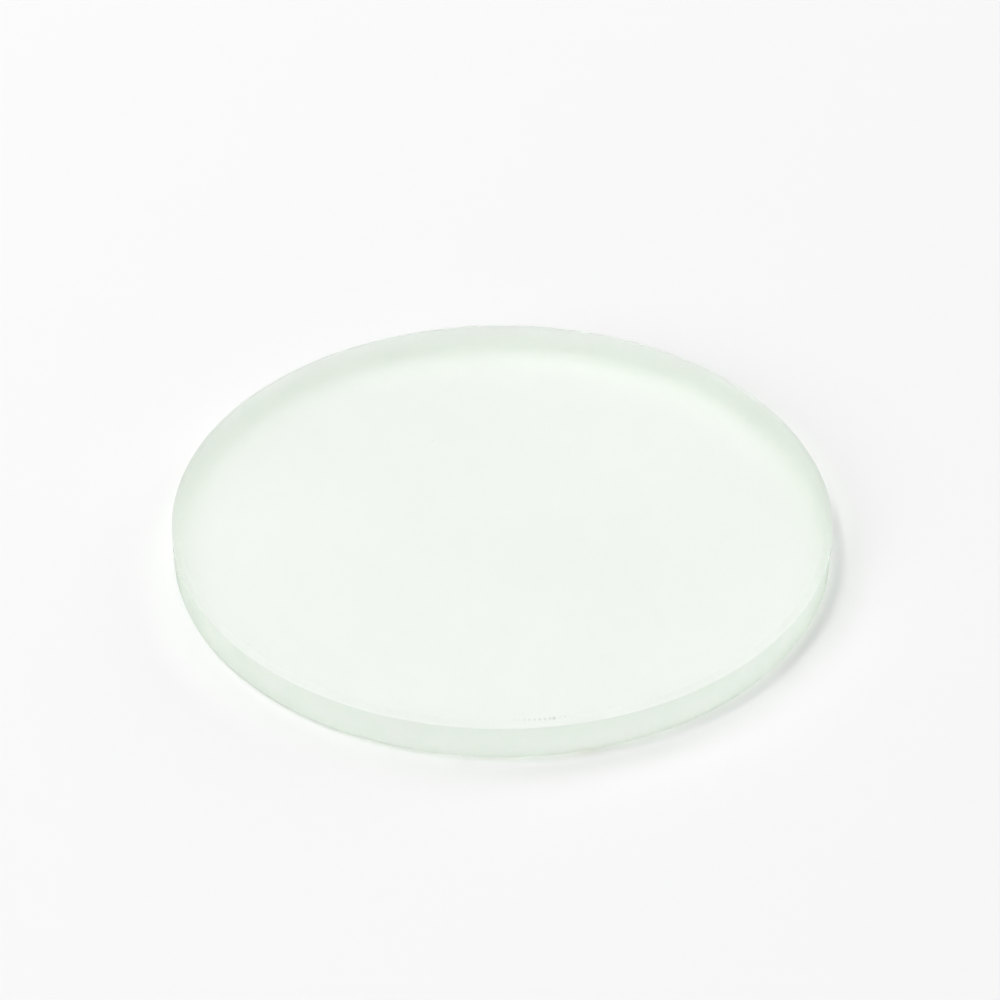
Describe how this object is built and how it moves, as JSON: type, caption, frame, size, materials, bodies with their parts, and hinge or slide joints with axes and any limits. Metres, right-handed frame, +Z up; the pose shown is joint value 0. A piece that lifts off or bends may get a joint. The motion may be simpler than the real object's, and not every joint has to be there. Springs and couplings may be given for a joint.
{
  "type": "frosted glass disc",
  "caption": "Round plate of thick satin-frosted glass, pale green at its ground edge, with a narrow bevel round both rims; lies flat as a working, stage or draw-round plate.",
  "frame": {"origin": "centre of the underside, on the surface the plate lies on", "axes": "+Z up along the plate's axis of symmetry, through its thickness; X and Y lie in the underside and are interchangeable, because the plate is round"},
  "size_m": [0.095, 0.095, 0.006],
  "materials": {
    "frosted_glass": "satin"
  },
  "bodies": {
    "root": {"glass_disc": "frosted_glass"}
  },
  "joints": []
}
